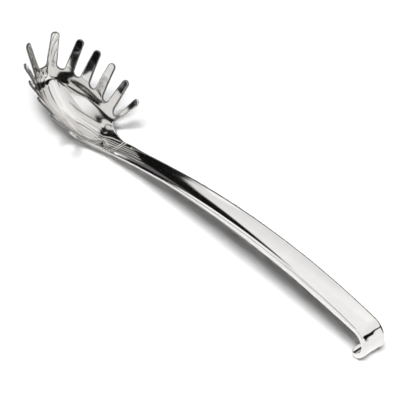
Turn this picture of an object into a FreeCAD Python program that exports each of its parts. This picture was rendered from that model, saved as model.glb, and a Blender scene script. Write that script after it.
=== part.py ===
import FreeCAD
import Part
import math
import os

# A pasta server lying on its back: toothed bowl at -X, hanging hook at +X, teeth up.
# Lengths in millimetres, angles in degrees.

# Bowl, measured on the inside, from the middle of its front edge
sheet = 1.5
bowl_length = 73.2
rim_width = 33.0
rim_front_height = 25.2
rim_rear_height = 6.6

# Teeth above the bowl's edge
tooth_rise = 24.4
tooth_flare = 11.4
tooth_lean = 2.4
tooth_tip_width = 5.2
slot_width = 5.2
slot_split = 0.8
slot_ease = 1.2

# Shoulders and neck
shoulder_radius = 2.4
shoulder_drop = 4.2
shoulder_width = 16.6
neck_width = 13.6
weld_length = 2.0

# Handle
length_to_hook = 295.0
hook_width = 14.4
hook_radius = 10.4
hook_thickness = 3.2
hook_entry_angle = 10.5
hook_bend = 176.0
hook_corner_radius = 4.0
handle_arch = 11.3
handle_thickness = 4.2
handle_dish = 0.85
edge_radius = 0.7

# How far cutting shapes run past what they cut
overrun = 4.0
slot_reach = 9.0
shoulder_reach = 27.0
shoulder_reach_slope = 1.0

# Degree of the curves that run through a row of sections
loft_degree = 3

# Levels of the bowl's inside: front place and height, rear place and height, half width
bowl_level_shares = (
    (0.42, 0.00, 0.60, 0.00, 0.16),
    (0.30, 0.063, 0.71, 0.13, 0.33),
    (0.18, 0.22, 0.782, 0.275, 0.50),
    (0.075, 0.45, 0.845, 0.525, 0.68),
    (0.015, 0.70, 0.918, 0.755, 0.85),
    (0.00, 1.00, 1.00, 1.00, 1.00),
)

# Levels of the teeth: front lean and rise, rear run and rise, side flare
tooth_level_shares = (
    (0.25, 0.275, 0.395, 0.155, 0.235),
    (0.45, 0.64, 0.75, 0.50, 0.58),
    (0.45, 1.00, 1.00, 1.00, 1.00),
    (0.40, 1.18, 1.20, 1.30, 1.20),
)
tooth_run_share = 0.19
tooth_rear_rise_share = 0.40
tip_level = len(bowl_level_shares) + 2
rim_level = len(bowl_level_shares) - 1

# Teeth and the slots between them on one side, as shares of the half turn from front to rear
tooth_turn_shares = (0.116, 0.263, 0.361, 0.452, 0.551, 0.659)
slot_turn_shares = (0.0, 0.182, 0.306, 0.422, 0.529, 0.636)
shoulder_turn_share = 0.71

# Handle stations: place along it, width, thickness at the edges, dish of the top
handle_station_shares = (
    (0.09, 0.885, 0.45, 1.2),
    (0.20, 0.90, 0.49, 1.0),
    (0.35, 0.925, 0.62, 1.0),
    (0.50, 0.95, 0.79, 1.0),
    (0.65, 0.965, 0.95, 1.0),
    (0.80, 0.98, 1.00, 0.95),
    (0.92, 0.99, 0.95, 0.75),
)
arch_skew_share = 0.125
hook_dish_share = 0.45
corner_wall_share = 0.45

V = FreeCAD.Vector
up_axis = V(0, 0, 1)
side_axis = V(0, 1, 0)


def bowl_levels():
    """Front x, front z, rear x, rear z and half width of each level of the inside, bottom first."""
    rows = []
    for front_x, front_z, rear_x, rear_z, width in bowl_level_shares:
        rows.append((
            front_x * bowl_length,
            sheet + front_z * (rim_front_height - sheet),
            rear_x * bowl_length,
            sheet + rear_z * (rim_rear_height - sheet),
            width * rim_width / 2,
        ))
    run = tooth_run_share * bowl_length
    rear_rise = tooth_rear_rise_share * tooth_rise
    for lean, rise, rear_run, rear_up, flare in tooth_level_shares:
        rows.append((
            -lean * tooth_lean,
            rim_front_height + rise * tooth_rise,
            bowl_length + rear_run * run,
            rim_rear_height + rear_up * rear_rise,
            rim_width / 2 + flare * tooth_flare,
        ))
    return rows


def outward(before, after, side):
    """Unit vector square to the line from before to after, on the given side."""
    across = after[0] - before[0]
    rise = after[1] - before[1]
    size = math.hypot(across, rise)
    return side * -rise / size, side * across / size


def thickened(rows):
    """The same levels on the outside of the sheet."""
    result = []
    last = len(rows) - 1
    for i, row in enumerate(rows):
        low = rows[max(i - 1, 0)]
        high = rows[min(i + 1, last)]
        front = outward((low[0], low[1]), (high[0], high[1]), 1)
        rear = outward((low[2], low[3]), (high[2], high[3]), -1)
        low_side = (low[4], (low[1] + low[3]) / 2)
        high_side = (high[4], (high[1] + high[3]) / 2)
        flank = outward(low_side, high_side, -1)
        if i == 0:
            front = (0, -1)
            rear = (0, -1)
            flank = (0, -1)
        result.append((
            row[0] + sheet * front[0],
            row[1] + sheet * front[1],
            row[2] + sheet * rear[0],
            row[3] + sheet * rear[1],
            row[4] + sheet * flank[0],
        ))
    return result


def level_point(row, turn_share):
    """Point of a level at a share of the half turn from its front to its rear, on the +Y side."""
    angle = math.pi * turn_share
    middle = V((row[0] + row[2]) / 2, 0, (row[1] + row[3]) / 2)
    to_front = V((row[0] - row[2]) / 2, 0, (row[1] - row[3]) / 2)
    return middle + to_front * math.cos(angle) + side_axis * (row[4] * math.sin(angle))


def level_tangent(row, turn_share):
    """Direction along a level from front to rear."""
    angle = math.pi * turn_share
    to_front = V((row[0] - row[2]) / 2, 0, (row[1] - row[3]) / 2)
    return to_front * -math.sin(angle) + side_axis * (row[4] * math.cos(angle))


def level_wire(row):
    middle = V((row[0] + row[2]) / 2, 0, (row[1] + row[3]) / 2)
    front = V(row[0], 0, row[1])
    flank = middle + side_axis * row[4]
    return Part.Wire(Part.Ellipse(front, flank, middle).toShape())


def level_volume(rows):
    return Part.makeLoft([level_wire(row) for row in rows], True, False, False, loft_degree)


class Slot:
    """Flat frame on the wall of the bowl, with its origin at the bottom of a slot between teeth."""

    def __init__(self, rows, turn_share, facing_share, reach, lean_down=0):
        self.reach = reach
        rim = rows[rim_level]
        tip = rows[tip_level]
        self.origin = level_point(rim, turn_share)
        rise = level_point(tip, facing_share) - level_point(rim, facing_share)
        along = level_tangent(rim, facing_share).normalize() + level_tangent(tip, facing_share).normalize()
        self.out = (rise.cross(along).normalize() - up_axis * lean_down).normalize()
        self.up = (rise - self.out * rise.dot(self.out)).normalize()
        self.along = self.out.cross(self.up)

    def flat(self, point):
        arm = point - self.origin
        return V(arm.dot(self.along), arm.dot(self.up), 0)

    def space(self, point):
        return self.origin + self.along * point.x + self.up * point.y - self.out * self.reach

    def prism(self, pieces):
        """Solid that cuts through the wall, from the flat outline's (points, is_arc) pieces."""
        edges = []
        for points, is_arc in pieces:
            places = [self.space(point) for point in points]
            if is_arc:
                edges.append(Part.Arc(*places).toShape())
            else:
                edges.append(Part.LineSegment(*places).toShape())
        return Part.Face(Part.Wire(edges)).extrude(self.out * (2 * self.reach))


def tooth_tip(slot, rows, turn_share):
    """Centre of a tooth's round tip and the tooth's direction, in the slot's flat frame."""
    base = slot.flat(level_point(rows[rim_level], turn_share))
    end = slot.flat(level_point(rows[tip_level], turn_share))
    course = (end - base).normalize()
    return end - course * (tooth_tip_width / 2), course


def cross_tangent(low, low_radius, high, high_radius, side):
    """Points where a line that passes between two circles touches the low and the high one."""
    arm = high - low
    gap = arm.Length
    toward = arm / gap
    square = V(toward.y, -toward.x, 0) * side
    cosine = (low_radius + high_radius) / gap
    reach = toward * cosine + square * math.sqrt(1 - cosine * cosine)
    return low + reach * low_radius, high - reach * high_radius


def arc_middle(centre, start, end):
    """Middle of the short arc from start to end round a centre."""
    radius = (start - centre).Length
    return centre + ((start - centre) + (end - centre)).normalize() * radius


def tip_side(slot, rows, turn_share, notch, notch_radius, side, ease=0):
    """Outline pieces of one tooth's edge, from past the top of its tip down to the notch circle."""
    centre, course = tooth_tip(slot, rows, turn_share)
    radius = tooth_tip_width / 2 + ease
    top = centre + course * radius
    away = V(course.y, -course.x, 0) * -side
    low_touch, high_touch = cross_tangent(notch, notch_radius, centre, radius, -side)
    start = top + away * overrun
    pieces = [
        ((start, top), False),
        ((top, arc_middle(centre, top, high_touch), high_touch), True),
        ((high_touch, low_touch), False),
    ]
    return pieces, start, low_touch


def reverse(pieces):
    return [(tuple(reversed(points)), is_arc) for points, is_arc in reversed(pieces)]


def slot_cut(rows, turn_share, tooth_shares, facing):
    """Cutting solid of the slot between two teeth, square to the sheet at the tooth it faces."""
    slot = Slot(rows, turn_share, tooth_shares[facing], slot_reach)
    radius = (slot_width - slot_split) / 2
    bottom = V((2 * facing - 1) * slot_split / 2, 0, 0)
    notch = bottom + V(0, radius, 0)
    eases = [slot_ease, slot_ease]
    eases[facing] = 0
    front, front_start, front_low = tip_side(slot, rows, tooth_shares[0], notch, radius, 1, eases[0])
    rear, rear_start, rear_low = tip_side(slot, rows, tooth_shares[1], notch, radius, -1, eases[1])
    rise = V(0, tooth_rise, 0)
    pieces = front
    pieces = pieces + [((front_low, bottom, rear_low), True)]
    pieces = pieces + reverse(rear)
    pieces = pieces + [((rear_start, rear_start + rise), False)]
    pieces = pieces + [((rear_start + rise, front_start + rise), False)]
    pieces = pieces + [((front_start + rise, front_start), False)]
    return slot.prism(pieces)


def shoulder_cut(rows):
    """Cutting solid behind the last tooth, along the shoulder and the neck."""
    slot = Slot(rows, shoulder_turn_share, shoulder_turn_share, shoulder_reach, shoulder_reach_slope)
    bottom = V(0, -shoulder_drop, 0)
    notch = bottom + V(0, shoulder_radius, 0)
    edge, start, low = tip_side(slot, rows, tooth_turn_shares[-1], notch, shoulder_radius, 1)
    rim = rows[rim_level]
    shoulder_x = (level_point(rim, shoulder_turn_share).x + bowl_length) / 2
    waist = slot.flat(V(shoulder_x, shoulder_width / 2, rim_rear_height))
    neck_end = slot.flat(V(bowl_length + overrun, neck_width / 2, rim_rear_height + sheet))
    rise = V(0, tooth_rise + tooth_flare, 0)
    pieces = edge
    pieces = pieces + [((low, arc_middle(notch, low, bottom), bottom), True)]
    pieces = pieces + [((bottom, waist, neck_end), True)]
    pieces = pieces + [((neck_end, neck_end + rise), False)]
    pieces = pieces + [((neck_end + rise, start + rise), False)]
    pieces = pieces + [((start + rise, start), False)]
    return slot.prism(pieces)


def make_bowl():
    inside = bowl_levels()
    shell = level_volume(thickened(inside)).cut(level_volume(inside))
    cuts = [shoulder_cut(inside)]
    tooth_shares = (-tooth_turn_shares[0],) + tooth_turn_shares
    for i, turn_share in enumerate(slot_turn_shares):
        for facing in (0, 1):
            cuts.append(slot_cut(inside, turn_share, tooth_shares[i:i + 2], facing))
    mirrored = [cut.mirror(V(0, 0, 0), side_axis) for cut in cuts]
    behind = Part.makeBox(length_to_hook, 2 * rim_width, 2 * rim_width)
    behind.translate(V(bowl_length, -rim_width, -rim_width / 2))
    return shell.cut(cuts + mirrored + [behind])


class Section:
    """Section of the handle: corners, middle heights and corner radius, in (side, height)."""

    def __init__(self, top, low, top_middle, low_middle):
        self.top = top
        self.low = low
        self.top_middle = top_middle
        self.low_middle = low_middle
        self.radius = min(edge_radius, corner_wall_share * (top[1] - low[1]))

    def wire(self, place):
        """Closed wire of curves, with place turning (side, height) into a point."""
        flank = (V(*self.low, 0) - V(*self.top, 0)).normalize() * self.radius
        inward = V(-self.radius, 0, 0)
        right = [V(*self.top, 0) + inward, V(*self.top, 0), V(*self.top, 0) + flank]
        right += [V(*self.low, 0) - flank, V(*self.low, 0), V(*self.low, 0) + inward]
        left = [V(-point.x, point.y, 0) for point in reversed(right)]
        top_run = (left[5], V(0, 2 * self.top_middle - self.top[1], 0), right[0])
        low_run = (right[5], left[0])
        if self.low_middle != self.low[1]:
            low_run = (right[5], V(0, 2 * self.low_middle - self.low[1], 0), left[0])
        runs = [top_run, right[0:3], right[2:4], right[3:6], low_run, left[0:3], left[2:4], left[3:6]]
        edges = []
        for run in runs:
            places = [place(point.x, point.y) for point in run]
            if len(places) == 2:
                edges.append(Part.makeLine(*places))
            else:
                curve = Part.BezierCurve()
                curve.setPoles(places)
                edges.append(curve.toShape())
        return Part.Wire(edges)


def neck_face(bowl):
    """The flat end of the bowl's neck."""
    return max(bowl.Faces, key=lambda face: face.BoundBox.XMin)


def neck_section(face):
    """The neck's end as a section of the handle."""
    corners = sorted((vertex.Point for vertex in face.Vertexes if vertex.Point.y > 0), key=lambda p: p.z)
    probe = Part.makeLine(V(bowl_length, 0, -rim_width), V(bowl_length, 0, rim_width)).common(face)
    low = (corners[0].y, corners[0].z)
    top = (corners[-1].y, corners[-1].z)
    return Section(top, low, probe.BoundBox.ZMax, probe.BoundBox.ZMin)


def handle_rise(share, start, end):
    """Height of the handle's top edges at a share of the way from start to end."""
    arch = 4 * handle_arch * share * (1 - share) * (1 + arch_skew_share * (2 * share - 1))
    return start.y + share * (end.y - start.y) + arch


def make_handle(neck, slope):
    centre = V(length_to_hook - hook_radius, 0, hook_radius)
    entry = math.radians(hook_entry_angle)
    start = V(bowl_length + weld_length, neck.top[1] + slope * weld_length, 0)
    end = V(centre.x + hook_radius * math.sin(entry), centre.z + hook_radius * math.cos(entry), 0)
    drop = slope * weld_length
    wires = [neck.wire(lambda side, height: V(start.x, side, height + drop))]
    for share, width, thickness, dish in handle_station_shares:
        x = start.x + share * (end.x - start.x)
        z = handle_rise(share, start, end)
        half = width * hook_width / 2
        low = z - thickness * handle_thickness
        section = Section((half, z), (half, low), z - dish * handle_dish, low)
        wires.append(section.wire(lambda side, height, x=x: V(x, side, height)))
    half = hook_width / 2
    inner = hook_radius - hook_thickness
    hook_middle = hook_radius - hook_dish_share * handle_dish
    ring = Section((half, hook_radius), (half, inner), hook_middle, inner)
    out = V(math.sin(entry), 0, math.cos(entry))
    last = ring.wire(lambda side, height: centre + out * height + side_axis * side)
    wires.append(last)
    blade = Part.makeLoft(wires, True, False, False, loft_degree)
    hook = Part.Face(last).revolve(centre, side_axis, hook_bend)
    return blade.fuse(hook).cut(hook_corners(centre, entry, inner)).removeSplitter()


def hook_corners(centre, entry, inner):
    """Cutting solids that round the two corners of the hook's free end."""
    turn = entry + math.radians(hook_bend)
    out = V(math.sin(turn), 0, math.cos(turn))
    along = V(math.cos(turn), 0, -math.sin(turn))
    half = hook_width / 2
    r = hook_corner_radius
    diagonal = r * math.sqrt(0.5)

    def place(run, side):
        return centre + out * (inner - overrun) + along * run + side_axis * side

    corner = place(-r + diagonal, half - r + diagonal)
    edges = [
        Part.Arc(place(-r, half), corner, place(0, half - r)).toShape(),
        Part.makeLine(place(0, half - r), place(overrun, half - r)),
        Part.makeLine(place(overrun, half - r), place(overrun, half + overrun)),
        Part.makeLine(place(overrun, half + overrun), place(-r, half + overrun)),
        Part.makeLine(place(-r, half + overrun), place(-r, half)),
    ]
    tool = Part.Face(Part.Wire(edges)).extrude(out * (hook_thickness + 2 * overrun))
    return [tool, tool.mirror(V(0, 0, 0), side_axis)]


os.makedirs("parts", exist_ok=True)
bowl = make_bowl()
levels = bowl_levels()
slope = (levels[rim_level + 1][3] - levels[rim_level][3]) / (levels[rim_level + 1][2] - levels[rim_level][2])
end_face = neck_face(bowl)
weld = end_face.extrude(V(weld_length, 0, slope * weld_length))
handle = make_handle(neck_section(end_face), slope)
nodes = {"toothed_bowl": bowl, "neck_weld": weld, "handle": handle}
box = Part.makeCompound(list(nodes.values())).optimalBoundingBox()
origin = V((box.XMin + box.XMax) / 2, 0, box.ZMin)
for name, shape in nodes.items():
    shape.translate(-origin)
    print(name, shape.isValid(), len(shape.Solids), round(shape.Volume, 1), shape.optimalBoundingBox())
    shape.exportStep("parts/" + name + ".step")
print("origin moved by", origin)
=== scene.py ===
import math

import bmesh
import bpy
import numpy as np
from mathutils import Matrix, Vector


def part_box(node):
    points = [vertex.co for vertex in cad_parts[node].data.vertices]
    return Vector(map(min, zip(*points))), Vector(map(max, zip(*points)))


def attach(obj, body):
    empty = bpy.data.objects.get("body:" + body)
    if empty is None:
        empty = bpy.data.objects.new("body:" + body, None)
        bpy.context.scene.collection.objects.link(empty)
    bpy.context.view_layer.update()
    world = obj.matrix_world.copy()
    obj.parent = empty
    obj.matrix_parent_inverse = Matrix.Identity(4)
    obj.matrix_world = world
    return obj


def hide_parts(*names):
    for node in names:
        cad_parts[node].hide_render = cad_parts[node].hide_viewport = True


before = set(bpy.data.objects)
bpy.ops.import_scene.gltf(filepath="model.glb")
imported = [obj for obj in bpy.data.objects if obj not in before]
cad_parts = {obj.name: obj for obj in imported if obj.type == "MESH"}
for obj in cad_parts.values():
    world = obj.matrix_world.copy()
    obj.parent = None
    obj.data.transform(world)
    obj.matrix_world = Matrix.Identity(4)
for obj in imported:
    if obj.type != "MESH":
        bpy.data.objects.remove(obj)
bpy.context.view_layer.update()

bl_info = {
    "name": "Pasta Server",
    "version": (1, 0, 0),
    "blender": (4, 5, 0),
    "location": "View3D > Sidebar > Pasta Server",
    "description": "Builds a polished steel pasta server and a plain studio around it",
    "category": "Add Mesh",
}

BOWL_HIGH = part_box("toothed_bowl")[1]
WELD_LOW, WELD_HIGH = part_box("neck_weld")
HANDLE_LOW, HANDLE_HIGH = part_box("handle")

# Levels of the bowl's inside: front place and height, rear place and height, half width, as shares.
BOWL_LEVELS = (
    (0.42, 0.006, 0.60, 0.028, 0.16),
    (0.30, 0.063, 0.71, 0.13, 0.33),
    (0.18, 0.22, 0.782, 0.275, 0.5),
    (0.075, 0.45, 0.845, 0.525, 0.68),
    (0.015, 0.70, 0.918, 0.755, 0.85),
    (0.0, 1.0, 1.0, 1.0, 1.0),
)
# Levels of the teeth above the rim: front lean and rise, rear run and rise, side flare, as shares.
TOOTH_LEVELS = (
    (0.25, 0.275, 0.395, 0.155, 0.235),
    (0.45, 0.64, 0.75, 0.50, 0.58),
    (0.45, 1.0, 1.0, 1.0, 1.0),
    (0.40, 1.18, 1.20, 1.30, 1.20),
)
# Reach of the rear teeth as a share of the bowl's length, their rise as a share of the front teeth's,
# and the level of the tips.
TOOTH_RUN = 0.19
TOOTH_REAR_RISE = 0.40
TIP_LEVEL = 3
# Teeth and slots of one side, as shares of the half turn from the front to the rear.
TOOTH_TURNS = (0.116, 0.263, 0.361, 0.452, 0.551, 0.659)
SLOT_TURNS = (0.0, 0.182, 0.306, 0.422, 0.529, 0.636)
# How the neck widens from the weld towards the bowl: slope at the weld, and its growth in each metre.
NECK_SPLAY = 0.115
NECK_CURL = 8.6
# Share of the bowl's length from which the sheet turns square to the weld, and the weld's slope
# as a share of the neck's.
SQUARE_START = 0.88
WELD_SLOPE = 1.06
# Handle stations: place along it, width, thickness at the edges and dish of the top, as shares.
HANDLE_STATIONS = (
    (0.0, 0.875, 0.42, 1.4),
    (0.09, 0.885, 0.45, 1.2),
    (0.20, 0.90, 0.49, 1.0),
    (0.35, 0.925, 0.62, 1.0),
    (0.50, 0.95, 0.79, 1.0),
    (0.65, 0.965, 0.95, 1.0),
    (0.80, 0.98, 1.00, 0.95),
    (0.92, 0.99, 0.95, 0.75),
)
# Lean of the arch towards the hook, and the shares of the handle where the neck's trough ends and
# the tilt starts to change.
ARCH_SKEW = 0.125
TROUGH_FADE = 0.11
TILT_START = 0.78
# How much wider the bar's underside is than its top at the neck, and the least rounding at the hook's free end.
FOOT_SPREAD = 0.0006
LEAST_ROUND = 0.00008
# Rolled lip along the handle's edges: fall across it, rise of its inner line and softness of that line.
LIP_FALL = 0.55
LIP_RISE = 0.16
LIP_KNEE = 0.0001

# Share of the steel's colour kept on the sheet's cut edges, a painted dark reflection that stands in for the dark
# outlines along the teeth, and where that painting fades along the bowl.
PAINTED_EDGE_TONE = 0.2
PAINTED_EDGE_FADE = (0.6, 0.92)

# Polishing lines: fineness along the three axes, detail, strength and depth, the span of the noise that they use
# and the blur across that span as shares of the roughness.
BOWL_GRAIN = (160.0, 900.0, 900.0)
WELD_GRAIN = (900.0, 200.0, 900.0)
HANDLE_GRAIN = (60.0, 900.0, 900.0)
GRAIN_DETAIL = 3.0
GRAIN_STRENGTH = 0.004
GRAIN_DEPTH = 0.0001
GRAIN_SPAN = (0.25, 0.75)
GRAIN_BLUR = (0.7, 1.3)
# Clouds in the steel's tint: scale, detail, the span of the noise that they use and tones as shares of the colour.
CLOUD_SCALE = 90.0
CLOUD_DETAIL = 2.0
CLOUD_SPAN = (0.3, 0.7)
CLOUD_TONES = (0.965, 1.02)
# Matt floor: blur, shine, scale of its clouds and their darker tone as a share of the colour.
FLOOR_BLUR = 0.9
FLOOR_SHINE = 0.1
FLOOR_CLOUDS = 6.0
FLOOR_TONE = 0.985
# Colour sockets of a Mix node: the two inputs and the result.
MIX_FIRST, MIX_SECOND, MIX_RESULT = 6, 7, 2

# Tones of black and of white card.
BLACK = 0.004
WHITE = 0.85
# Grey tones that the steel mirrors round the stage, by degrees from +X towards +Y: the wall under the
# black cards, the cards themselves and the tent above them.
WALL_TONES = (
    (-180, 0.12), (-135, 0.12), (-117, 0.12), (-114, 0.75), (-98, 0.75), (-96.5, BLACK), (-63, BLACK), (-56, WHITE),
    (38, WHITE), (43, BLACK), (90, 0.1), (180, 0.14),
)
CARD_TONES = ((-180, BLACK), (-117, BLACK), (-114, 0.7), (-98, 0.7), (-96.5, BLACK), (180, BLACK))
TENT_TONES = (
    (-180, 0.3), (-150, 0.3), (-135, 0.5), (-120, 0.85), (-105, 0.95), (-90, 0.95), (-30, 0.8), (60, 0.8), (114, 0.92),
    (128, 0.86), (142, 0.78), (160, 0.72), (172, 0.5), (180, 0.3),
)
# Lower edges of the black cards and of the tent, in degrees above the floor, and how soft they are.
CARD_EDGES = ((-180, 14), (-30, 14), (0, 18), (25, 18), (45, 14), (180, 14))
TENT_EDGES = (
    (-180, 37), (-150, 33), (-136, 28), (-127, 23), (-117, 20), (-97, 27), (-20, 25), (12, 39), (36, 36), (50, 22),
    (80, 22), (95, 28), (145, 28), (150, 29.5), (156, 31.5), (162, 35.5), (180, 37),
)
EDGE_SOFTNESS = (2.0, 1.0)
# Panels that only the steel mirrors: corners in metres, and either one tone or tones from the first side to the third.
PANELS = {
    "overhead_panel": (
        ((-0.89, -0.36, 0.5), (0.67, -1.25, 0.5), (1.012, -0.647, 0.5), (-0.548, 0.243, 0.5)),
        ((0.0, 0.6), (0.725, 0.78), (1.0, 0.95)),
    ),
    "hook_card": (
        ((0.197, 0.040, 0.0), (0.128, 0.088, 0.0), (0.128, 0.088, 0.043), (0.197, 0.040, 0.058)), BLACK,
    ),
    "high_card": (
        ((0.259, 0.218, 0.368), (-0.180, 0.442, 0.368), (-0.180, 0.442, 0.466), (0.259, 0.218, 0.466)), BLACK,
    ),
    "hook_screen": (
        ((0.168, 0.049, 0.078), (0.045, 0.049, 0.062), (0.045, 0.049, 0.082), (0.168, 0.049, 0.116)), WHITE,
    ),
    "white_card": (
        ((0.30, -0.20, 0.0), (0.30, 0.10, 0.0), (0.30, 0.10, 0.12), (0.30, -0.20, 0.12)), WHITE,
    ),
    "black_card": (
        ((-0.155, -0.175, 0.0), (0.01, -0.20, 0.0), (0.01, -0.20, 0.07), (-0.155, -0.175, 0.07)), BLACK,
    ),
}
# Where the two soft lights shine from, how far the floor reaches, and the camera's target, sensor and nearest sight.
KEY_PLACE = (0.3, -0.3, 1.0)
FILL_PLACE = (0.0, 0.0, 1.0)
FLOOR_REACH = 4.0
CAMERA_TARGET = (0.008563, -0.00223, 0.020)
SENSOR_WIDTH = 36.0
NEAREST_SIGHT = 0.01

# How finely the meshes follow their shapes.
TOOTH_COLUMNS = 16
TOOTH_ROWS = (9, 22, 9)
NECK_COLUMNS = 16
NECK_ROWS = 28
BOWL_ROWS = 56
EDGE_STEPS = 4
HANDLE_ROWS = 190
HOOK_ROWS = 64
END_ROWS = 14
WELD_ROWS = 4

# Search for outlines on the bowl's surface: rounds, greatest steps of run and turn, smallest divisor and allowed miss.
SEARCH_ROUNDS = 30
RUN_STEP = 0.004
TURN_STEP = 0.3
SMALLEST = 1e-12
SEARCH_MISS = 1e-6
# Where those searches start: shares of the rim's run and of the half turn for the root behind the last tooth, least run
# and share of the turn on a tooth, and for the neck its first place, share of the rim's run there and greatest sine.
ROOT_GUESS = (0.85, 0.73)
TOOTH_GUESS = (0.005, 0.8)
NECK_GUESS = (0.055, 0.8, 0.99)
ROOT_STEP = 0.0005
# Least run at which the sheet's direction is worked out, as a share of the rim's.
LEAST_RUN = 1e-4
# Distances at which points are one point, and at which a point lies on a cut end.
SAME_POINT = 2e-7
ON_END = 1e-6


def length(name, description, default):
    """Setting for a length in metres."""
    return bpy.props.FloatProperty(
        name=name, description=description, default=default, min=0.0, precision=5, unit="LENGTH", subtype="DISTANCE"
    )


def colour(name, description, default):
    """Setting for a colour."""
    return bpy.props.FloatVectorProperty(
        name=name, description=description, default=default, min=0.0, max=1.0, size=3, subtype="COLOR"
    )


def factor(name, description, default):
    """Setting for a share from zero to one."""
    return bpy.props.FloatProperty(
        name=name, description=description, default=default, min=0.0, max=1.0, subtype="FACTOR"
    )


def angle(name, description, degrees):
    """Setting for an angle, with its default in degrees."""
    return bpy.props.FloatProperty(
        name=name, description=description, default=math.radians(degrees), unit="ROTATION", subtype="ANGLE"
    )


def amount(name, description, default):
    """Setting for a strength that isn't negative."""
    return bpy.props.FloatProperty(name=name, description=description, default=default, min=0.0)


class BowlSettings(bpy.types.PropertyGroup):
    """Sizes and finish of the toothed bowl."""

    sheet: length("Sheet", "Thickness of the pressed sheet", 0.0015)
    bowl_length: length("Length", "Inside length from the front edge to the weld", 0.0732)
    rim_width: length("Width", "Inside width between the slots", 0.033)
    front_height: length("Front height", "Height of the rim at the front", 0.0252)
    rear_height: length("Rear height", "Height of the sheet at the neck", 0.0066)
    tooth_rise: length("Tooth rise", "Height of the front teeth above the rim", 0.0244)
    tooth_flare: length("Tooth flare", "How far the side teeth lean out", 0.0114)
    tooth_lean: length("Tooth lean", "How far the front teeth lean out", 0.0024)
    tip_width: length("Tip width", "Width of a tooth's round tip", 0.0052)
    slot_width: length("Slot width", "Width of the round bottom of a slot", 0.0052)
    shoulder_radius: length("Shoulder radius", "Radius behind the last tooth", 0.0024)
    shoulder_place: length("Shoulder place", "Distance of the shoulder from the front edge", 0.0565)
    neck_half: length("Neck half width", "Half width of the neck's top at the weld", 0.00678)
    edge_round: length("Edge rounding", "Radius of the sheet's cut edges", 0.0006)
    steel: colour("Steel", "Colour of the polished bowl", (0.80, 0.79, 0.775))
    roughness: factor("Roughness", "Blur of the bowl's polish", 0.075)


class WeldSettings(bpy.types.PropertyGroup):
    """Size and finish of the ground weld at the neck."""

    weld_length: length("Length", "Length of the weld along the neck", WELD_HIGH.x - WELD_LOW.x)
    steel: colour("Steel", "Colour of the ground weld", (0.78, 0.77, 0.755))
    roughness: factor("Roughness", "Blur of the weld's polish", 0.09)


class HandleSettings(bpy.types.PropertyGroup):
    """Sizes and finish of the handle and its hook."""

    arch: length("Arch", "Rise of the handle above its ends", 0.0113)
    thickness: length("Thickness", "Greatest thickness of the bar", 0.0042)
    dish: length("Dish", "Depth of the middle of the top below its edges", 0.00085)
    edge_round: length("Edge rounding", "Radius along the bar's edges", 0.0005)
    lip: length("Lip", "Width of the rolled lip along the edges near the neck", 0.0011)
    hook_lip: length("Hook lip", "Width of the rolled lip at the hook", 0.0004)
    hook_width: length("Hook width", "Width of the bar at the hook", 0.0144)
    hook_radius: length("Hook radius", "Outer radius of the hook at its edges", 0.0104)
    hook_thickness: length("Hook thickness", "Thickness of the bent end at its edges", 0.0032)
    hook_dish: length("Hook dish", "Depth of the middle of the hook's outside", 0.00038)
    corner_radius: length("Corner radius", "Radius of the free end's corners", 0.004)
    entry_angle: angle("Entry angle", "Slope of the handle where the bend starts", 10.5)
    bend: angle("Bend", "Turn of the hook", 176.0)
    steel: colour("Steel", "Colour of the polished handle", (0.80, 0.79, 0.775))
    roughness: factor("Roughness", "Blur of the handle's polish", 0.075)


class StageSettings(bpy.types.PropertyGroup):
    """Floor, light and camera."""

    floor: colour("Floor", "Colour of the floor", (0.93, 0.93, 0.93))
    key_strength: amount("Key light", "Strength of the overhead soft light on the floor", 3.8)
    key_spread: angle("Key spread", "Width of the overhead soft light", 26.0)
    fill_strength: amount("Fill light", "Strength of the even light from all round", 0.05)
    tent: amount("Light tent", "Brightness of the white tent that the steel mirrors", 1.25)
    lens: bpy.props.FloatProperty(
        name="Lens", description="Focal length of the camera in millimetres", default=145.6, min=1.0,
        unit="CAMERA", subtype="DISTANCE_CAMERA",
    )
    distance: length("Camera distance", "Distance of the camera from its target", 0.914)
    azimuth: angle("Azimuth", "Turn of the camera round the part", 50.35)
    elevation: angle("Elevation", "Height of the camera above the floor", 40.03)


def unit(vectors):
    """The same directions at length one."""
    return vectors / np.linalg.norm(vectors, axis=-1, keepdims=True)


def fade(share):
    """Smooth step from one at zero to zero at one."""
    s = np.clip(share, 0.0, 1.0)
    return 1.0 - s * s * s * (10.0 - s * (15.0 - 6.0 * s))


class Curve:
    """Smooth cubic through rows of values at rising knots."""

    def __init__(self, knots, rows, flat_start=False):
        self.knots = np.asarray(knots, float)
        rows = np.asarray(rows, float)
        gaps = np.diff(self.knots)
        slopes = np.diff(rows, axis=0) / gaps[:, None]
        count = len(self.knots)
        matrix = np.zeros((count, count))
        right = np.zeros(rows.shape)
        matrix[0, 0] = 1.0
        matrix[-1, -1] = 1.0
        if flat_start:
            matrix[0, :2] = 2.0 * gaps[0], gaps[0]
            right[0] = 6.0 * slopes[0]
        for i in range(1, count - 1):
            matrix[i, i - 1:i + 2] = gaps[i - 1], 2.0 * (gaps[i - 1] + gaps[i]), gaps[i]
            right[i] = 6.0 * (slopes[i] - slopes[i - 1])
        bend = np.linalg.solve(matrix, right)
        self.start = rows[:-1]
        self.slope = slopes - gaps[:, None] * (2.0 * bend[:-1] + bend[1:]) / 6.0
        self.half_bend = bend[:-1] / 2.0
        self.twist = (bend[1:] - bend[:-1]) / (6.0 * gaps[:, None])

    def at(self, places):
        """Values and slopes at the given places."""
        i = np.clip(np.searchsorted(self.knots, places, side="right") - 1, 0, len(self.knots) - 2)
        step = (places - self.knots[i])[..., None]
        values = self.start[i] + step * (self.slope[i] + step * (self.half_bend[i] + step * self.twist[i]))
        slopes = self.slope[i] + step * (2.0 * self.half_bend[i] + 3.0 * step * self.twist[i])
        return values, slopes


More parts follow.
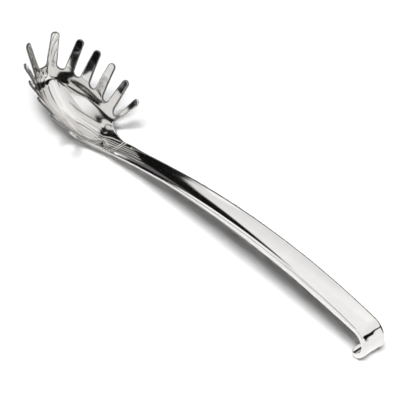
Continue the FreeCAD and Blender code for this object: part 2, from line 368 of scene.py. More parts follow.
class BowlSurface:
    """Inside of the bowl and its teeth, with places given by a run from the middle and a turn from the front."""

    def __init__(self, bowl):
        rows = []
        for front_x, front_z, rear_x, rear_z, width in BOWL_LEVELS:
            rows.append((
                front_x * bowl.bowl_length,
                bowl.sheet + front_z * (bowl.front_height - bowl.sheet),
                rear_x * bowl.bowl_length,
                bowl.sheet + rear_z * (bowl.rear_height - bowl.sheet),
                width * bowl.rim_width / 2.0,
            ))
        for lean, rise, run, rear_up, flare in TOOTH_LEVELS:
            rows.append((
                -lean * bowl.tooth_lean,
                bowl.front_height + rise * bowl.tooth_rise,
                bowl.bowl_length * (1.0 + run * TOOTH_RUN),
                bowl.rear_height + rear_up * TOOTH_REAR_RISE * bowl.tooth_rise,
                bowl.rim_width / 2.0 + flare * bowl.tooth_flare,
            ))
        rows = np.array(rows)
        middle = (rows[0, 0] + rows[0, 2]) / 2.0
        rows = np.vstack([[middle, bowl.sheet, middle, bowl.sheet, 0.0], rows])
        steps = np.diff(rows, axis=0)
        front = np.hypot(steps[:, 0], steps[:, 1])
        rear = np.hypot(steps[:, 2], steps[:, 3])
        flank = np.hypot(steps[:, 4], (steps[:, 1] + steps[:, 3]) / 2.0)
        knots = np.concatenate([[0.0], np.cumsum((front + rear + 2.0 * flank) / 4.0)])
        self.end = knots[-1]
        self.rim = knots[len(BOWL_LEVELS)]
        self.tip = knots[len(BOWL_LEVELS) + TIP_LEVEL]
        self.heights = Curve(knots, rows[:, [1, 3]], True)
        self.spans = Curve(knots, rows[:, [0, 2, 4]])

    def at(self, run, turn):
        """Points and their slopes along the run and the turn."""
        run = np.asarray(run, float)
        turn = np.asarray(turn, float)
        cosine = np.cos(turn)
        sine = np.sin(turn)

        def place(span, height):
            x = (span[..., 0] + span[..., 1]) / 2.0 + (span[..., 0] - span[..., 1]) / 2.0 * cosine
            z = (height[..., 0] + height[..., 1]) / 2.0 + (height[..., 0] - height[..., 1]) / 2.0 * cosine
            return np.stack([x, span[..., 2] * sine, z], -1)

        span, span_slope = self.spans.at(run)
        height, height_slope = self.heights.at(run)
        around = np.stack([
            -(span[..., 0] - span[..., 1]) / 2.0 * sine,
            span[..., 2] * cosine,
            -(height[..., 0] - height[..., 1]) / 2.0 * sine,
        ], -1)
        return place(span, height), place(span_slope, height_slope), around

    def outward(self, run, turn):
        """Unit vectors through the sheet, away from the inside."""
        _, along, around = self.at(np.maximum(run, self.rim * LEAST_RUN), turn)
        return unit(np.cross(along, around))

    def solve(self, first, second, origin, axes, run, turn):
        """Run and turn of the points whose distances from origin along two axes are first and second."""
        for _ in range(SEARCH_ROUNDS):
            point, along, around = self.at(run, turn)
            miss_a = (point - origin) @ axes[0] - first
            miss_b = (point - origin) @ axes[1] - second
            run_a, run_b = along @ axes[0], along @ axes[1]
            turn_a, turn_b = around @ axes[0], around @ axes[1]
            base = run_a * turn_b - turn_a * run_b
            base = np.where(np.abs(base) < SMALLEST, SMALLEST, base)
            run = run - np.clip((miss_a * turn_b - miss_b * turn_a) / base, -RUN_STEP, RUN_STEP)
            turn = turn - np.clip((miss_b * run_a - miss_a * run_b) / base, -TURN_STEP, TURN_STEP)
            run = np.clip(run, 0.0, self.end)
        point = self.at(run, turn)[0]
        misses = ((point - origin) @ axes[0] - first, (point - origin) @ axes[1] - second)
        if np.abs(misses).max() > SEARCH_MISS:
            raise RuntimeError("the outline left the bowl's surface")
        return run, turn


def arc(centre, radius, start, end, steps):
    """Points round a centre the short way from one direction to another."""
    first = math.atan2(start[1], start[0])
    swing = (math.atan2(end[1], end[0]) - first + math.pi) % (2.0 * math.pi) - math.pi
    angles = first + swing * np.linspace(0.0, 1.0, steps + 1)
    return centre + radius * np.stack([np.cos(angles), np.sin(angles)], -1)


def tooth_edge(bottom, centre, radius, tip_centre, tip_radius, side):
    """One edge of a tooth in its own flat, from the bottom of the slot to the top of the round tip."""
    arm = tip_centre - centre
    gap = np.linalg.norm(arm)
    toward = arm / gap
    square = np.array([toward[1], -toward[0]]) * side
    cosine = (radius + tip_radius) / gap
    reach = toward * cosine + square * math.sqrt(1.0 - cosine * cosine)
    low = centre + reach * radius
    high = tip_centre - reach * tip_radius
    notch = arc(centre, radius, bottom - centre, reach, TOOTH_ROWS[0])
    flank = low + (high - low) * np.linspace(0.0, 1.0, TOOTH_ROWS[1] + 1)[:, None]
    tip = arc(tip_centre, tip_radius, -reach, np.array([0.0, 1.0]), TOOTH_ROWS[2])
    return np.vstack([notch, flank[1:], tip[1:]])


class Places:
    """Growing list of (run, turn) places on the bowl."""

    def __init__(self):
        self.rows = []
        self.count = 0

    def add(self, run, turn):
        run = np.asarray(run, float)
        ids = np.arange(self.count, self.count + run.size).reshape(run.shape)
        self.count += run.size
        self.rows.append(np.stack([run.ravel(), np.asarray(turn, float).ravel()], -1))
        return ids

    def all(self):
        return np.vstack(self.rows)


def half_bowl(bowl):
    """Inside of the bowl's +Y half: its surface, places, grids of ids, edge loop and neck grid."""
    surface = BowlSurface(bowl)
    inset = bowl.edge_round
    places = Places()
    axis_x, axis_y, zero = np.array([1.0, 0.0, 0.0]), np.array([0.0, 1.0, 0.0]), np.zeros(3)

    def neck_edge(x):
        """Half width of the neck's inside at a distance from the front edge."""
        back = bowl.bowl_length - x
        return bowl.neck_half - inset + NECK_SPLAY * back + NECK_CURL * back * back

    # bottoms of the slots and the root behind the last tooth
    bottoms = []
    for share in SLOT_TURNS:
        turn = math.pi * share
        along = surface.at(surface.rim, turn)[1]
        bottoms.append((surface.rim - inset / np.linalg.norm(along), turn))
    root_x = np.array([bowl.shoulder_place, bowl.shoulder_place + ROOT_STEP])
    run, turn = surface.solve(
        root_x, neck_edge(root_x), zero, (axis_x, axis_y),
        np.full(2, ROOT_GUESS[0] * surface.rim), np.full(2, ROOT_GUESS[1] * math.pi),
    )
    root = surface.at(run, turn)[0]
    root_course = root[1] - root[0]
    bottoms.append((run[0], turn[0]))
    bottom_ids = [int(places.add([run], [turn])[0]) for run, turn in bottoms]

    grids, loop, ring = [], [], []
    last = len(SLOT_TURNS)
    for k, share in enumerate(TOOTH_TURNS):
        middle = math.pi * share
        base, _, base_around = surface.at(surface.rim, middle)
        tip, _, tip_around = surface.at(surface.tip, middle)
        rise = tip - base
        out = unit(np.cross(rise, unit(base_around) + unit(tip_around)))
        up = unit(rise - out * (rise @ out))
        axes = (np.cross(out, up), up)
        tooth_length = rise @ up

        def flat(point):
            """Place of a point in the tooth's own flat."""
            return np.array([(point - base) @ axes[0], (point - base) @ axes[1]])

        edges = []
        for i, side in ((k, 1.0), (k + 1, -1.0)):
            point, _, around = surface.at(*bottoms[i])
            course = flat(point + (root_course if i == last else around)) - flat(point)
            course = course / np.linalg.norm(course)
            radius = (bowl.shoulder_radius if i == last else bowl.slot_width / 2.0) + inset
            centre = flat(point) + np.array([-course[1], course[0]]) * radius
            tip_centre = np.array([0.0, tooth_length - bowl.tip_width / 2.0])
            edges.append(tooth_edge(flat(point), centre, radius, tip_centre, bowl.tip_width / 2.0 - inset, side))
        across = np.linspace(0.0, 1.0, TOOTH_COLUMNS + 1)[None, :, None]
        cells = edges[0][:, None] * (1.0 - across) + edges[1][:, None] * across
        run = np.maximum(surface.rim + cells[..., 1] / tooth_length * (surface.tip - surface.rim), TOOTH_GUESS[0])
        turn = middle + TOOTH_GUESS[1] * cells[..., 0] / np.linalg.norm(base_around)
        run, turn = surface.solve(cells[..., 0].ravel(), cells[..., 1].ravel(), base, axes, run.ravel(), turn.ravel())
        run, turn = run.reshape(cells.shape[:2]), turn.reshape(cells.shape[:2])
        ids = np.zeros(run.shape, int)
        ids[0, 0], ids[0, -1] = bottom_ids[k], bottom_ids[k + 1]
        ids[0, 1:-1] = places.add(run[0, 1:-1], turn[0, 1:-1])
        ids[1:-1] = places.add(run[1:-1], turn[1:-1])
        ids[-1] = places.add(run[-1, :1], turn[-1, :1])[0]
        grids.append(ids)
        ring.append(ids[0, :-1])
        loop += list(ids[:-1, 0]) + list(ids[:0:-1, -1])

    x = np.linspace(bowl.shoulder_place, bowl.bowl_length, NECK_ROWS + 1)[:, None]
    y = neck_edge(x) * np.linspace(1.0, 0.0, NECK_COLUMNS + 1)[None]
    x = x + 0.0 * y
    run = surface.rim * np.interp(x, [NECK_GUESS[0], bowl.bowl_length], [NECK_GUESS[1], 1.0])
    turn = math.pi - np.arcsin(np.clip(y / (bowl.rim_width / 2.0), 0.0, NECK_GUESS[2]))
    run, turn = surface.solve(x.ravel(), y.ravel(), zero, (axis_x, axis_y), run.ravel(), turn.ravel())
    run, turn = run.reshape(x.shape), turn.reshape(x.shape)
    turn[:, -1] = math.pi
    neck = np.zeros(x.shape, int)
    neck[0, 0] = bottom_ids[-1]
    neck[0, 1:] = places.add(run[0, 1:], turn[0, 1:])
    neck[1:] = places.add(run[1:], turn[1:])
    grids.append(neck)
    ring.append(neck[0])
    loop += list(neck[:, 0])

    ring = np.concatenate(ring)
    start = places.all()[ring]
    share = np.linspace(1.0, 0.0, BOWL_ROWS + 1)[1:-1, None]
    rows = places.add(share * start[None, :, 0], start[None, :, 1] + 0.0 * share)
    pole = places.add([0.0], [math.pi / 2.0])
    grids.append(np.vstack([ring[None], rows, np.repeat(pole, len(ring))[None]]))
    return surface, places.all(), grids, np.array(loop), neck


def grid_faces(ids):
    """Faces of a grid of ids, with the repeated corners of a closed end dropped."""
    faces = []
    corners = zip(ids[:-1, :-1].ravel(), ids[1:, :-1].ravel(), ids[1:, 1:].ravel(), ids[:-1, 1:].ravel())
    for corner in corners:
        face = list(dict.fromkeys(int(c) for c in corner))
        if len(face) > 2:
            faces.append(face)
    return faces


def bowl_shape(bowl):
    """Points and faces of the whole bowl, the section of its neck's end round the sheet, and the share of painted dark
    reflection on each point of the cut edge.
    """
    surface, places, grids, loop, neck = half_bowl(bowl)
    inner = surface.at(places[:, 0], places[:, 1])[0]
    outward = surface.outward(places[:, 0], places[:, 1])
    outward[-1] = 0.0, 0.0, -1.0
    # the end of the neck is cut square to the handle
    square = outward.copy()
    square[:, 0] = 0.0
    square = square / np.sum(square * outward, axis=1)[:, None]
    turned = np.clip((inner[:, 0] / bowl.bowl_length - SQUARE_START) / (1.0 - SQUARE_START), 0.0, 1.0)
    is_neck = np.zeros(len(inner), bool)
    is_neck[neck.ravel()] = True
    turned = np.where(is_neck, 1.0 - fade(turned), 0.0)[:, None]
    through = outward * (1.0 - turned) + square * turned
    outer = inner + bowl.sheet * through

    course = np.zeros((len(loop), 3))
    course[1:-1] = inner[loop[2:]] - inner[loop[:-2]]
    course[0] = 0.0, 1.0, 0.0
    course[-1] = inner[loop[-1]] - inner[loop[-2]]
    away = unit(np.cross(unit(course), outward[loop]))
    if away[0, 2] < 0.0:
        away = -away
    away[-1] = unit(away[-1] * (0.0, 1.0, 1.0))
    rounding = bowl.edge_round
    angles = np.linspace(0.0, math.pi / 2.0, EDGE_STEPS + 1)[1:]
    profile = [(math.sin(a) * rounding, (1.0 - math.cos(a)) * rounding) for a in angles]
    profile += [(side, bowl.sheet - depth) for side, depth in reversed(profile)]
    bands = [inner[loop] + away * side + through[loop] * depth for side, depth in profile]

    count = len(inner)
    half = np.vstack([inner, outer] + bands)
    band_ids = [loop]
    for i in range(len(profile)):
        band_ids.append(2 * count + i * len(loop) + np.arange(len(loop)))
    band_ids.append(loop + count)
    faces = []
    for ids in grids:
        faces += grid_faces(ids) + grid_faces(ids + count)
    faces += grid_faces(np.array(band_ids))
    end = neck[-1]
    faces += grid_faces(np.array([end, end + count]))
    faces.append([int(ids[-1]) for ids in band_ids])

    points = np.vstack([half, half * (1.0, -1.0, 1.0)])
    faces += [[i + len(half) for i in reversed(face)] for face in faces]
    top = inner[end[::-1]]
    low = outer[end]
    side = half[[int(ids[-1]) for ids in band_ids[1:-1]]]
    mirror = np.array([1.0, -1.0, 1.0])
    section = [top[:0:-1] * mirror, top, side, low, (low[:-1] * mirror)[::-1], (side * mirror)[::-1]]
    # painted dark reflection on the bands of the cut edge: full over the front of the bowl, fading out towards the neck
    painted_edge_share = fade((half[:, 0] / bowl.bowl_length - PAINTED_EDGE_FADE[0]) / (PAINTED_EDGE_FADE[1] - PAINTED_EDGE_FADE[0]))
    cut = np.tile((np.arange(len(half)) >= 2 * count) * painted_edge_share, 2)
    return points, faces, np.vstack(section), surface, cut


def bar_section(half_top, half_low, top, low, crown, bulge, rounding, lip):
    """Section of the bar as (side, height), in the order of the neck's own section."""
    # columns closer together towards the edges
    even = np.linspace(-1.0, 1.0, 2 * NECK_COLUMNS + 1)
    share = even * (1.5 - 0.5 * even * even)
    angles = np.linspace(0.0, math.pi / 2.0, EDGE_STEPS + 1)[1:]
    inset = (half_top - rounding) * (1.0 - np.abs(share))
    roll = LIP_FALL * LIP_KNEE * np.log1p(np.exp((lip - inset) / LIP_KNEE))
    upper = np.stack([share * (half_top - rounding), top + crown * (1.0 - share * share) - roll], -1)
    inward, deep = rounding * (1.0 - np.sin(angles)), rounding * (1.0 - np.cos(angles))
    shoulder = np.stack([half_top - inward, upper[-1, 1] - deep], -1)
    foot = np.stack([half_low - inward, low + deep], -1)[::-1]
    lower = np.stack([-share * (half_low - rounding), low + bulge * (1.0 - share * share)], -1)
    side = np.vstack([shoulder, foot])
    return np.vstack([upper, side, lower, (side * (-1.0, 1.0))[::-1]])


def swept_faces(rows, columns):
    """Faces of a row of closed sections with both ends closed."""
    ids = np.arange(rows * columns).reshape(rows, columns)
    faces = grid_faces(np.hstack([ids, ids[:, :1]]))
    wide = 2 * NECK_COLUMNS + 1
    edge = 2 * EDGE_STEPS
    for row in (ids[0], ids[-1]):
        faces += grid_faces(np.array([row[:wide], row[wide + edge:2 * wide + edge][::-1]]))
        faces.append([int(i) for i in row[wide - 1:wide + edge + 1]])
        faces.append([int(i) for i in row[2 * wide + edge - 1:]] + [int(row[0])])
    return faces


def part_shift(bowl):
    """Offset from the bowl's front edge to the frame's origin."""
    return np.array([BOWL_HIGH.x - bowl.bowl_length, 0.0, 0.0])


def hook_places(bowl, handle):
    """Middle of the hook and the place where its bend starts, as (x, z) from the bowl's front edge."""
    centre = np.array([HANDLE_HIGH.x - part_shift(bowl)[0] - handle.hook_radius, handle.hook_radius])
    start = centre + handle.hook_radius * np.array([math.sin(handle.entry_angle), math.cos(handle.entry_angle)])
    return centre, start


def weld_course(bowl, weld, surface):
    """Step from the bowl's neck to the handle along the weld."""
    along = surface.at(surface.rim, math.pi)[1]
    return np.array([weld.weld_length, 0.0, weld.weld_length * along[2] / along[0] * WELD_SLOPE])


def handle_shape(bowl, weld, handle, section, surface):
    """Points and faces of the arched bar with its hook."""
    centre, end = hook_places(bowl, handle)
    step = weld_course(bowl, weld, surface)
    first = section + step
    start = np.array([bowl.bowl_length + weld.weld_length, first[:, 2].max()])
    wide = 2 * NECK_COLUMNS + 1
    trough = first[NECK_COLUMNS, 2] - first[0, 2]
    belly = first[wide + 2 * EDGE_STEPS + NECK_COLUMNS, 2] - first[wide + 2 * EDGE_STEPS, 2]

    hook_station = (1.0, 1.0, handle.hook_thickness / handle.thickness, handle.hook_dish / handle.dish)
    stations = np.array(HANDLE_STATIONS + (hook_station,))
    curve = Curve(stations[:, 0], stations[:, 1:])
    loops = []
    for share in np.linspace(0.0, 1.0, HANDLE_ROWS + 1):
        (width, thick, dish), _ = curve.at(np.array(share))
        fresh = float(fade(share / TROUGH_FADE))
        half = width * handle.hook_width / 2.0
        arch = 4.0 * handle.arch * share * (1.0 - share) * (1.0 + ARCH_SKEW * (2.0 * share - 1.0))
        z = start[1] + share * (end[1] - start[1]) + arch
        x = start[0] + share * (end[0] - start[0])
        tilt = handle.entry_angle * (1.0 - float(fade((share - TILT_START) / (1.0 - TILT_START))))
        lip = (handle.lip + (handle.hook_lip - handle.lip) * share) * (1.0 - fresh)
        loop = bar_section(
            half, half + FOOT_SPREAD * fresh, LIP_RISE * lip, -thick * handle.thickness,
            trough * fresh - dish * handle.dish * (1.0 - fresh), belly * fresh, handle.edge_round, lip,
        )
        points = np.stack([
            x + loop[:, 1] * math.sin(tilt),
            loop[:, 0],
            z + loop[:, 1] * math.cos(tilt),
        ], -1)
        if share == 0.0:
            shift = first - points
        loops.append(points + shift * fresh)

    mean = handle.hook_radius - handle.hook_thickness / 2.0
    bend_length = handle.bend * mean
    tail = handle.corner_radius * (1.0 - np.cos(np.linspace(math.pi / 2.0, 0.0, END_ROWS + 1)))
    rounds = handle.edge_round * (1.0 - np.sin(np.linspace(0.0, math.pi / 2.0, EDGE_STEPS + 1)))
    body = np.linspace(bend_length, handle.corner_radius, HOOK_ROWS + 1)[1:]
    left = np.unique(np.concatenate([body, tail, rounds]).round(7))[::-1]
    for back in left:
        heading = handle.entry_angle + (bend_length - back) / mean
        out = max(handle.corner_radius - back, 0.0)
        narrow = handle.corner_radius - math.sqrt(max(handle.corner_radius ** 2 - out ** 2, 0.0))
        near = max(handle.edge_round - back, 0.0)
        soft = handle.edge_round - math.sqrt(max(handle.edge_round ** 2 - near ** 2, 0.0))
        half = handle.hook_width / 2.0 - narrow - soft
        rounding = max(handle.edge_round - soft, LEAST_ROUND)
        loop = bar_section(
            half, half, LIP_RISE * handle.hook_lip - soft, soft - handle.hook_thickness,
            -handle.hook_dish, 0.0, rounding, handle.hook_lip,
        )
        height = handle.hook_radius + loop[:, 1]
        loops.append(np.stack([
            centre[0] + height * math.sin(heading),
            loop[:, 0],
            centre[1] + height * math.cos(heading),
        ], -1))
    return np.vstack(loops), swept_faces(len(loops), len(section))


def make_piece(name, points, faces, shift, node, material, ends, cut=None):
    """Mesh object of the part, welded, facing outward and smooth but for its cut ends, in place of a CAD node."""
    mesh = bpy.data.meshes.new(name)
    mesh.from_pydata((points + shift).tolist(), [], faces)
    # share of painted dark reflection on the cut edge, kept as a point attribute for the material
    if cut is not None:
        mesh.attributes.new("painted_dark_edge", "FLOAT", "POINT").data.foreach_set("value", cut)
    work = bmesh.new()
    work.from_mesh(mesh)
    bmesh.ops.remove_doubles(work, verts=work.verts, dist=SAME_POINT)
    bmesh.ops.recalc_face_normals(work, faces=work.faces)
    if any(not edge.is_manifold for edge in work.edges):
        raise RuntimeError(name + " isn't closed")
    for face in work.faces:
        face.smooth = not any(all(abs(vert.co.x - end) < ON_END for vert in face.verts) for end in ends)
    work.to_mesh(mesh)
    work.free()
    mesh.materials.append(material)
    mesh.update()
    piece = bpy.data.objects.new(name, mesh)
    bpy.context.scene.collection.objects.link(piece)
    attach(piece, "root")
    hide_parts(node)


def grey_ramp(nodes, stops):
    """Ramp through greys given as (position, tone)."""
    ramp = nodes.new("ShaderNodeValToRGB")
    elements = ramp.color_ramp.elements
    while len(elements) < len(stops):
        elements.new(1.0)
    for element, (position, tone) in zip(elements, stops):
        element.position = position
        element.color = (tone, tone, tone, 1.0)
    return ramp


def polished_steel(name, steel, roughness, grain, paint_dark_edge=False):
    """Mirror-polished steel: faint polishing lines, a slightly uneven shine and, where asked for, a painted dark
    reflection on the cut edge.
    """
    material = bpy.data.materials.new(name)
    material.use_nodes = True
    nodes, links = material.node_tree.nodes, material.node_tree.links
    shader = nodes["Principled BSDF"]
    shader.inputs["Metallic"].default_value = 1.0
    place = nodes.new("ShaderNodeTexCoord")

    lines_map = nodes.new("ShaderNodeMapping")
    lines_map.inputs["Scale"].default_value = grain
    links.new(place.outputs["Object"], lines_map.inputs["Vector"])
    lines = nodes.new("ShaderNodeTexNoise")
    lines.inputs["Scale"].default_value = 1.0
    lines.inputs["Detail"].default_value = GRAIN_DETAIL
    links.new(lines_map.outputs["Vector"], lines.inputs["Vector"])

    cloud = nodes.new("ShaderNodeTexNoise")
    cloud.inputs["Scale"].default_value = CLOUD_SCALE
    cloud.inputs["Detail"].default_value = CLOUD_DETAIL
    links.new(place.outputs["Object"], cloud.inputs["Vector"])

    tint = nodes.new("ShaderNodeValToRGB")
    for element, position, tone in zip(tint.color_ramp.elements, CLOUD_SPAN, CLOUD_TONES):
        element.position = position
        element.color = (*(min(tone * c, 1.0) for c in steel), 1.0)
    links.new(cloud.outputs["Fac"], tint.inputs["Fac"])
    tinted = tint.outputs["Color"]
    # painted dark reflection: the steel's colour darkened on the cut edge, standing in for the dark reflections along
    # the teeth's outlines
    if paint_dark_edge:
        edge = nodes.new("ShaderNodeAttribute")
        edge.attribute_name = "painted_dark_edge"
        painted_darkening = nodes.new("ShaderNodeMix")
        painted_darkening.data_type = "RGBA"
        painted_darkening.blend_type = "MULTIPLY"
        painted_darkening.inputs[MIX_SECOND].default_value = (PAINTED_EDGE_TONE, PAINTED_EDGE_TONE, PAINTED_EDGE_TONE, 1.0)
        links.new(edge.outputs["Fac"], painted_darkening.inputs["Factor"])
        links.new(tinted, painted_darkening.inputs[MIX_FIRST])
        tinted = painted_darkening.outputs[MIX_RESULT]
    links.new(tinted, shader.inputs["Base Color"])

    shine = nodes.new("ShaderNodeMapRange")
    shine.inputs["From Min"].default_value = GRAIN_SPAN[0]
    shine.inputs["From Max"].default_value = GRAIN_SPAN[1]
    shine.inputs["To Min"].default_value = GRAIN_BLUR[0] * roughness
    shine.inputs["To Max"].default_value = GRAIN_BLUR[1] * roughness
    links.new(lines.outputs["Fac"], shine.inputs["Value"])
    links.new(shine.outputs["Result"], shader.inputs["Roughness"])

    bump = nodes.new("ShaderNodeBump")
    bump.inputs["Strength"].default_value = GRAIN_STRENGTH
    bump.inputs["Distance"].default_value = GRAIN_DEPTH
    links.new(lines.outputs["Fac"], bump.inputs["Height"])
    links.new(bump.outputs["Normal"], shader.inputs["Normal"])
    return material


def pale_floor(name, tone):
    """Matt white floor with a faint unevenness."""
    material = bpy.data.materials.new(name)
    material.use_nodes = True
    nodes, links = material.node_tree.nodes, material.node_tree.links
    shader = nodes["Principled BSDF"]
    shader.inputs["Roughness"].default_value = FLOOR_BLUR
    shader.inputs["Specular IOR Level"].default_value = FLOOR_SHINE
    cloud = nodes.new("ShaderNodeTexNoise")
    cloud.inputs["Scale"].default_value = FLOOR_CLOUDS
    ramp = nodes.new("ShaderNodeValToRGB")
    ramp.color_ramp.elements[0].color = (*(FLOOR_TONE * c for c in tone), 1.0)
    ramp.color_ramp.elements[1].color = (*tone, 1.0)
    links.new(cloud.outputs["Fac"], ramp.inputs["Fac"])
    links.new(ramp.outputs["Color"], shader.inputs["Base Color"])
    return material


def ring_of_tones(nodes, links, bearing, tones):
    """Grey tones round the stage, given as (degrees from +X towards +Y, tone)."""
    ramp = grey_ramp(nodes, [(0.5 + degrees / 360.0, tone) for degrees, tone in tones])
    links.new(bearing.outputs["Result"], ramp.inputs["Fac"])
    return ramp


def edge_at(nodes, links, height, bearing, edges, softness):
    """Factor that goes from zero to one over an edge given as (degrees from +X towards +Y, degrees above the floor)."""
    sines = [(turn, math.sin(math.radians(rise))) for turn, rise in edges]
    above = nodes.new("ShaderNodeMath")
    above.operation = "SUBTRACT"
    links.new(height, above.inputs[0])
    links.new(ring_of_tones(nodes, links, bearing, sines).outputs["Color"], above.inputs[1])
    step = nodes.new("ShaderNodeMapRange")
    step.interpolation_type = "SMOOTHSTEP"
    step.inputs["From Min"].default_value = -math.sin(math.radians(softness))
    step.inputs["From Max"].default_value = math.sin(math.radians(softness))
    links.new(above.outputs["Value"], step.inputs["Value"])
    return step


def light_tent(name, stage):
    """White tent over the part with black cards and a wall under it, which only the steel mirrors."""
    world = bpy.data.worlds.new(name)
    bpy.context.scene.world = world
    world.use_nodes = True
    world.cycles_visibility.diffuse = False
    nodes, links = world.node_tree.nodes, world.node_tree.links
    place = nodes.new("ShaderNodeTexCoord")
    split = nodes.new("ShaderNodeSeparateXYZ")
    links.new(place.outputs["Generated"], split.inputs["Vector"])
    turn = nodes.new("ShaderNodeMath")
    turn.operation = "ARCTAN2"
    links.new(split.outputs["Y"], turn.inputs[0])
    links.new(split.outputs["X"], turn.inputs[1])
    bearing = nodes.new("ShaderNodeMapRange")
    bearing.inputs["From Min"].default_value = -math.pi
    bearing.inputs["From Max"].default_value = math.pi
    links.new(turn.outputs["Value"], bearing.inputs["Value"])

    layers = [ring_of_tones(nodes, links, bearing, tones) for tones in (WALL_TONES, CARD_TONES, TENT_TONES)]
    mixed = layers[0].outputs["Color"]
    for layer, edges, softness in zip(layers[1:], (CARD_EDGES, TENT_EDGES), EDGE_SOFTNESS):
        step = edge_at(nodes, links, split.outputs["Z"], bearing, edges, softness)
        mix = nodes.new("ShaderNodeMix")
        mix.data_type = "RGBA"
        links.new(step.outputs["Result"], mix.inputs["Factor"])
        links.new(mixed, mix.inputs[MIX_FIRST])
        links.new(layer.outputs["Color"], mix.inputs[MIX_SECOND])
        mixed = mix.outputs[MIX_RESULT]
    tent = nodes["Background"]
    links.new(mixed, tent.inputs["Color"])
    tent.inputs["Strength"].default_value = stage.tent

    white = nodes.new("ShaderNodeBackground")
    white.inputs["Color"].default_value = (1.0, 1.0, 1.0, 1.0)
    path = nodes.new("ShaderNodeLightPath")
    choice = nodes.new("ShaderNodeMixShader")
    links.new(path.outputs["Is Camera Ray"], choice.inputs["Fac"])
    links.new(tent.outputs["Background"], choice.inputs[1])
    links.new(white.outputs["Background"], choice.inputs[2])
    links.new(choice.outputs["Shader"], nodes["World Output"].inputs["Surface"])


def studio_panel(name, corners, tones, strength):
    """Flat panel that only the steel mirrors, in one tone or in tones given as (share across it, tone)."""
    mesh = bpy.data.meshes.new(name)
    mesh.from_pydata(corners, [], [(0, 1, 2, 3)])
    material = bpy.data.materials.new(name)
    material.use_nodes = True
    nodes, links = material.node_tree.nodes, material.node_tree.links
    nodes.remove(nodes["Principled BSDF"])
    glow = nodes.new("ShaderNodeEmission")
    glow.inputs["Strength"].default_value = strength
    if isinstance(tones, float):
        glow.inputs["Color"].default_value = (tones, tones, tones, 1.0)
    else:
        across = mesh.uv_layers.new(name="across")
        for loop, place in zip(across.data, ((0.0, 0.0), (1.0, 0.0), (1.0, 1.0), (0.0, 1.0))):
            loop.uv = place
        place = nodes.new("ShaderNodeTexCoord")
        split = nodes.new("ShaderNodeSeparateXYZ")
        ramp = grey_ramp(nodes, tones)
        links.new(place.outputs["UV"], split.inputs["Vector"])
        links.new(split.outputs["Y"], ramp.inputs["Fac"])
        links.new(ramp.outputs["Color"], glow.inputs["Color"])
    links.new(glow.outputs["Emission"], nodes["Material Output"].inputs["Surface"])
    mesh.materials.append(material)
    panel = bpy.data.objects.new(name, mesh)
    bpy.context.scene.collection.objects.link(panel)
    panel.visible_camera = False
    panel.visible_diffuse = False
    panel.visible_shadow = False


class PASTASERVER_OT_toothed_bowl(bpy.types.Operator):
    """Build the pressed bowl with its teeth and neck"""

    bl_idname = "pasta_server.toothed_bowl"
    bl_label = "Toothed Bowl"

    def execute(self, context):
        bowl = context.scene.pasta_bowl
        points, faces, _, _, cut = bowl_shape(bowl)
        # bowl steel with the painted dark reflection along its cut edges
        steel = polished_steel("bowl_polish", tuple(bowl.steel), bowl.roughness, BOWL_GRAIN, paint_dark_edge=True)
        make_piece(
            "bowl_with_teeth", points, faces, part_shift(bowl),
            "toothed_bowl", steel, (BOWL_HIGH.x,), cut,
        )
        return {"FINISHED"}


class PASTASERVER_OT_neck_weld(bpy.types.Operator):
    """Build the ground weld between the neck and the handle"""

    bl_idname = "pasta_server.neck_weld"
    bl_label = "Neck Weld"

    def execute(self, context):
        bowl, weld = context.scene.pasta_bowl, context.scene.pasta_weld
        _, _, section, surface, _ = bowl_shape(bowl)
        step = weld_course(bowl, weld, surface)
        loops = [section + step * share for share in np.linspace(0.0, 1.0, WELD_ROWS + 1)]
        steel = polished_steel("weld_polish", tuple(weld.steel), weld.roughness, WELD_GRAIN)
        make_piece(
            "ground_weld", np.vstack(loops), swept_faces(len(loops), len(section)), part_shift(bowl),
            "neck_weld", steel, (WELD_LOW.x, WELD_HIGH.x),
        )
        return {"FINISHED"}


class PASTASERVER_OT_handle(bpy.types.Operator):
    """Build the arched handle with its hanging hook"""

    bl_idname = "pasta_server.handle"
    bl_label = "Handle and Hook"

    def execute(self, context):
        bowl, weld, handle = context.scene.pasta_bowl, context.scene.pasta_weld, context.scene.pasta_handle
        _, _, section, surface, _ = bowl_shape(bowl)
        points, faces = handle_shape(bowl, weld, handle, section, surface)
        steel = polished_steel("handle_polish", tuple(handle.steel), handle.roughness, HANDLE_GRAIN)
        make_piece("arched_handle", points, faces, part_shift(bowl), "handle", steel, (HANDLE_LOW.x,))
        return {"FINISHED"}


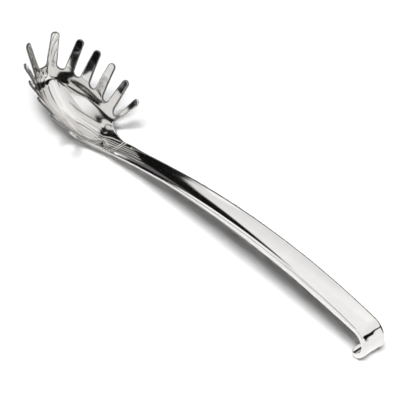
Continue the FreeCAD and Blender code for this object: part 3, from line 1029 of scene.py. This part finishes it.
class PASTASERVER_OT_stage(bpy.types.Operator):
    """Set the floor, the soft lights, the light tent with its panels and the camera"""

    bl_idname = "pasta_server.stage"
    bl_label = "Studio Stage"

    def execute(self, context):
        scene = context.scene
        stage = scene.pasta_stage
        mesh = bpy.data.meshes.new("floor")
        corners = [(FLOOR_REACH * x, FLOOR_REACH * y, 0.0) for x, y in ((-1, -1), (1, -1), (1, 1), (-1, 1))]
        mesh.from_pydata(corners, [], [(0, 1, 2, 3)])
        mesh.materials.append(pale_floor("floor_paint", tuple(stage.floor)))
        floor = bpy.data.objects.new("floor", mesh)
        scene.collection.objects.link(floor)

        for name, strength, spread, place in (
            ("overhead_softbox", stage.key_strength, stage.key_spread, KEY_PLACE),
            ("even_fill", stage.fill_strength, math.pi, FILL_PLACE),
        ):
            light = bpy.data.lights.new(name, "SUN")
            light.energy = strength
            light.angle = spread
            lamp = bpy.data.objects.new(name, light)
            lamp.location = place
            lamp.rotation_euler = Vector(place).to_track_quat("Z", "Y").to_euler()
            lamp.visible_glossy = False
            scene.collection.objects.link(lamp)
        light_tent("light_tent", stage)
        for name, (corners, tones) in PANELS.items():
            studio_panel(name, corners, tones, stage.tent)
        scene.view_settings.view_transform = "Standard"

        data = bpy.data.cameras.new("photo_camera")
        data.sensor_width = SENSOR_WIDTH
        data.lens = stage.lens
        data.clip_start = NEAREST_SIGHT
        camera = bpy.data.objects.new("photo_camera", data)
        turn, rise = stage.azimuth, stage.elevation
        back = Vector((math.sin(turn) * math.cos(rise), -math.cos(turn) * math.cos(rise), math.sin(rise)))
        right = Vector((math.cos(turn), math.sin(turn), 0.0))
        facing = Matrix((right, back.cross(right), back)).transposed().to_4x4()
        camera.matrix_world = Matrix.Translation(Vector(CAMERA_TARGET) + back * stage.distance) @ facing
        scene.collection.objects.link(camera)
        scene.camera = camera
        return {"FINISHED"}


class PASTASERVER_PT_sidebar(bpy.types.Panel):
    """Lists the steps and settings of the pasta server"""

    bl_idname = "PASTASERVER_PT_sidebar"
    bl_label = "Pasta Server"
    bl_space_type = "VIEW_3D"
    bl_region_type = "UI"
    bl_category = "Pasta Server"

    def draw(self, context):
        scene = context.scene
        rows = (
            (PASTASERVER_OT_toothed_bowl, scene.pasta_bowl),
            (PASTASERVER_OT_neck_weld, scene.pasta_weld),
            (PASTASERVER_OT_handle, scene.pasta_handle),
            (PASTASERVER_OT_stage, scene.pasta_stage),
        )
        for operator, settings in rows:
            box = self.layout.box()
            box.operator(operator.bl_idname)
            for name in settings.__annotations__:
                box.prop(settings, name)


CLASSES = (
    BowlSettings,
    WeldSettings,
    HandleSettings,
    StageSettings,
    PASTASERVER_OT_toothed_bowl,
    PASTASERVER_OT_neck_weld,
    PASTASERVER_OT_handle,
    PASTASERVER_OT_stage,
    PASTASERVER_PT_sidebar,
)
SETTINGS = {
    "pasta_bowl": BowlSettings,
    "pasta_weld": WeldSettings,
    "pasta_handle": HandleSettings,
    "pasta_stage": StageSettings,
}


def register():
    for cls in CLASSES:
        bpy.utils.register_class(cls)
    for name, group in SETTINGS.items():
        setattr(bpy.types.Scene, name, bpy.props.PointerProperty(type=group))


def unregister():
    for name in SETTINGS:
        delattr(bpy.types.Scene, name)
    for cls in reversed(CLASSES):
        bpy.utils.unregister_class(cls)


def main():
    register()
    bpy.ops.pasta_server.toothed_bowl()
    bpy.ops.pasta_server.neck_weld()
    bpy.ops.pasta_server.handle()
    bpy.ops.pasta_server.stage()


if __name__ == "__main__":
    main()
